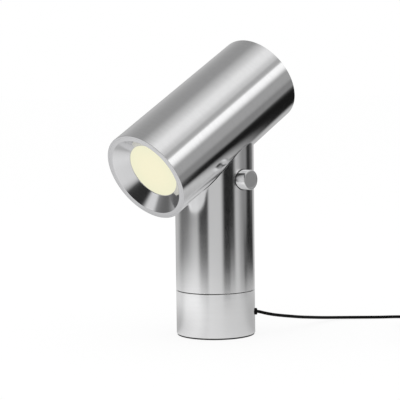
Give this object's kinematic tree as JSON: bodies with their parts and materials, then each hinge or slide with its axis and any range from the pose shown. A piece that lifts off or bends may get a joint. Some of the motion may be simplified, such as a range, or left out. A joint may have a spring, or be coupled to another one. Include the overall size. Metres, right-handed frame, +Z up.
{
  "type": "table lamp",
  "caption": "Short aluminium table lamp: a cylindrical spot head tilts in a saddle on a cylindrical stem, which swivels on a weighted base, with a dimmer knob and a cord",
  "frame": {"origin": "centre of the foot's underside, on the surface the lamp stands on", "axes": "+Z up along the stem, -Y the way the light points, +X towards the dimmer knob and along the head's tilt axis"},
  "size_m": [0.2723, 0.3234, 0.2979],
  "materials": {
    "aluminium": "turned and finely brushed",
    "polished_reflector": "bright satin",
    "steel": "zinc plated",
    "iron": "cast, painted black",
    "brass": "plain",
    "black_plastic": "moulded, matt",
    "white_plastic": "moulded, matt",
    "circuit_board": "glass-filled laminate with solder mask",
    "led_phosphor": "phosphor-filled silicone",
    "opal_diffuser": "opal acrylic, satin",
    "rubber": "moulded",
    "cord": "smooth black jacket"
  },
  "bodies": {
    "base": {"foot_pad": "rubber", "base_housing": "aluminium", "bottom_plate": "steel", "ballast_weight": "iron", "base_screw_1": "steel", "base_screw_2": "steel", "base_screw_3": "steel", "cord_gland": "rubber", "gland_nut": "black_plastic", "swivel_spindle": "steel", "swivel_nut": "steel", "swivel_stop_pin": "steel", "thrust_washer": "white_plastic", "base_lead": "cord", "cord_lead": "cord", "cord_coil": "cord", "cord_tail": "cord", "cord_tie": "rubber", "plug_relief": "rubber", "plug_body": "black_plastic", "plug_pin_lower": "brass", "plug_pin_upper": "brass"},
    "stem": {"stem_tube": "aluminium", "stem_plate": "aluminium", "spring_washer": "steel", "stem_bulkhead": "aluminium", "saddle_liner": "black_plastic", "neck_bracket": "steel", "neck_screw_left": "steel", "neck_screw_right": "steel", "pivot_pin": "steel", "pivot_nut": "steel", "friction_washer_left": "white_plastic", "friction_washer_right": "white_plastic", "board_clip": "steel", "driver_board": "circuit_board", "driver_coil": "brass", "driver_capacitor": "black_plastic", "stem_lead": "cord", "head_lead": "cord", "dimmer_seat": "black_plastic", "dimmer_body": "steel", "dimmer_nut": "brass", "dimmer_lead": "cord"},
    "head": {"head_shell": "aluminium", "rear_cap": "aluminium", "head_bracket": "steel", "reflector": "polished_reflector", "diffuser": "opal_diffuser", "mixing_ring": "white_plastic", "led_board": "white_plastic", "led_array": "led_phosphor", "heat_sink": "aluminium", "sink_screw_1": "steel", "sink_screw_2": "steel", "led_lead": "cord"},
    "knob": {"dimmer_knob": "aluminium", "dimmer_shaft": "brass"}
  },
  "joints": [
    {"name": "stem_swivel", "type": "hinge", "parent": "base", "child": "stem", "pos_m": [0, 0, 0.0455], "axis": [0, 0, 1], "range_deg": [-160, 160]},
    {"name": "head_tilt", "type": "hinge", "parent": "stem", "child": "head", "pos_m": [0, 0.0283, 0.19628], "axis": [-1, 0, 0], "range_deg": [0, 30]},
    {"name": "dimmer_turn", "type": "hinge", "parent": "stem", "child": "knob", "pos_m": [0, 0, 0.15864], "axis": [1, 0, 0], "range_deg": [0, 300]}
  ]
}
